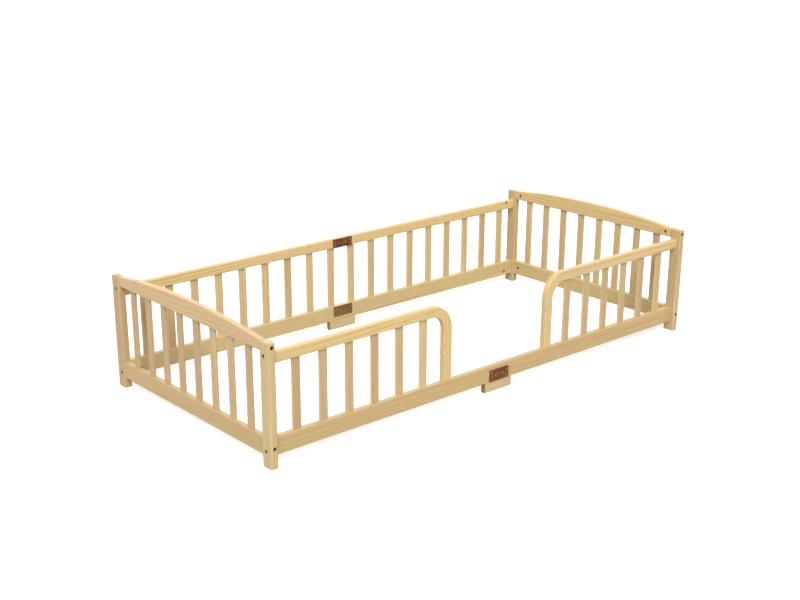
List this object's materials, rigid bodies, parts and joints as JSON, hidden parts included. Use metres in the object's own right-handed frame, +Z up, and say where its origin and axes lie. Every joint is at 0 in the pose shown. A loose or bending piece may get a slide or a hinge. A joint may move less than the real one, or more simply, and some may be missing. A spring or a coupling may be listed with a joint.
{
  "type": "toddler floor bed",
  "caption": "Low slatted floor bed frame in solid pine with arched ends, a back rail, curved front guards and an open doorway for a mattress on the floor.",
  "frame": {"origin": "on the floor under the middle of the bed's footprint", "axes": "+X along the bed, +Y across it from the doorway side to the closed back, +Z up"},
  "size_m": [1.65, 0.768, 0.3605],
  "materials": {
    "pine_post": "satin",
    "pine_rail": "satin",
    "pine_slat": "satin",
    "dowel_beech": "matte",
    "plate_steel": "satin",
    "fastener_steel": "satin"
  },
  "bodies": {
    "root": {"back_bottom_plate": "plate_steel", "back_bottom_rail_left": "pine_rail", "back_bottom_rail_right": "pine_rail", "back_slats_left": "pine_slat", "back_slats_right": "pine_slat", "back_top_plate": "plate_steel", "back_top_rail_left": "pine_rail", "back_top_rail_right": "pine_rail", "barrel_nuts": "fastener_steel", "corner_bolts": "fastener_steel", "dowels": "dowel_beech", "end_bottom_rail_left": "pine_rail", "end_bottom_rail_right": "pine_rail", "end_slat_left_1": "pine_slat", "end_slat_left_2": "pine_slat", "end_slat_left_3": "pine_slat", "end_slat_left_4": "pine_slat", "end_slat_left_5": "pine_slat", "end_slat_left_6": "pine_slat", "end_slat_left_7": "pine_slat", "end_slat_left_8": "pine_slat", "end_slat_right_1": "pine_slat", "end_slat_right_2": "pine_slat", "end_slat_right_3": "pine_slat", "end_slat_right_4": "pine_slat", "end_slat_right_5": "pine_slat", "end_slat_right_6": "pine_slat", "end_slat_right_7": "pine_slat", "end_slat_right_8": "pine_slat", "end_top_rail_left": "pine_rail", "end_top_rail_right": "pine_rail", "foot_screws": "fastener_steel", "front_bottom_rail_left": "pine_rail", "front_bottom_rail_right": "pine_rail", "front_plate": "plate_steel", "guard_slat_left_1": "pine_slat", "guard_slat_left_2": "pine_slat", "guard_slat_left_3": "pine_slat", "guard_slat_left_4": "pine_slat", "guard_slat_left_5": "pine_slat", "guard_slat_left_6": "pine_slat", "guard_slat_right_1": "pine_slat", "guard_slat_right_2": "pine_slat", "guard_slat_right_3": "pine_slat", "guard_slat_right_4": "pine_slat", "guard_slat_right_5": "pine_slat", "guard_slat_right_6": "pine_slat", "guard_top_rail_left": "pine_rail", "guard_top_rail_right": "pine_rail", "guard_upright_left": "pine_rail", "guard_upright_right": "pine_rail", "middle_foot_back": "pine_rail", "middle_foot_front": "pine_rail", "plate_screws": "fastener_steel", "post_back_left": "pine_post", "post_back_right": "pine_post", "post_front_left": "pine_post", "post_front_right": "pine_post"}
  },
  "joints": []
}
